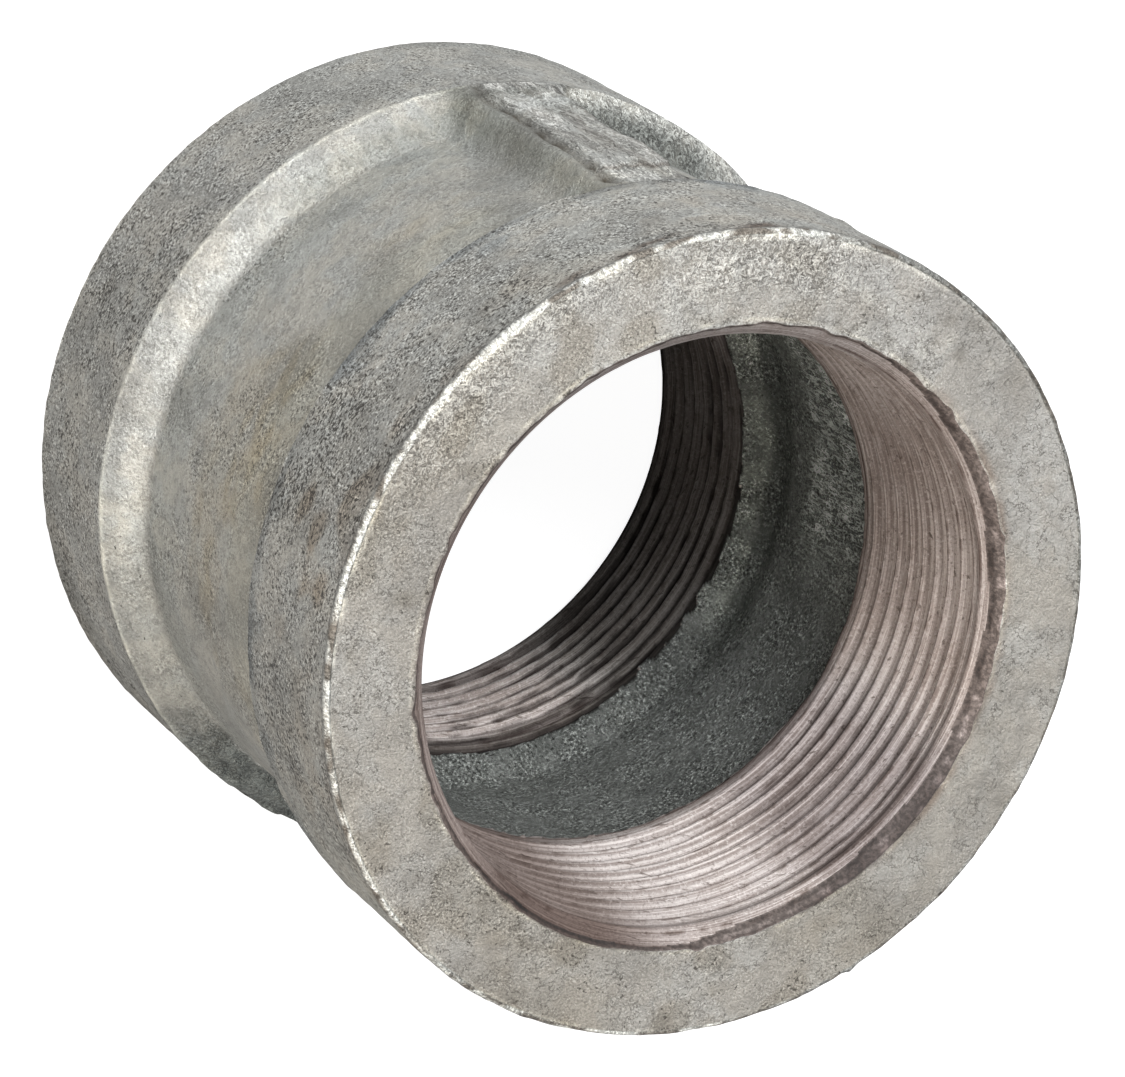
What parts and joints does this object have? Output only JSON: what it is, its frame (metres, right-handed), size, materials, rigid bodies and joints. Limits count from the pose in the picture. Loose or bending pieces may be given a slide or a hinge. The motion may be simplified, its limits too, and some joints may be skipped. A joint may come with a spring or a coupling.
{
  "type": "pipe coupling",
  "caption": "Banded malleable iron pipe coupling, threaded inside at both ends, with a wider cast chamber between the threads.",
  "frame": {"origin": "centre of the far end face, on the bore axis", "axes": "+Z along the bore axis, from the far end face to the near end face; +X is a reference direction 54 degrees from a rib"},
  "size_m": [0.0784, 0.0784, 0.0676],
  "materials": {
    "galvanised_iron": "hot-dip galvanised casting, matt grey with a fine grain, threads cut bare"
  },
  "bodies": {
    "root": {"coupling_casting": "galvanised_iron"}
  },
  "joints": []
}
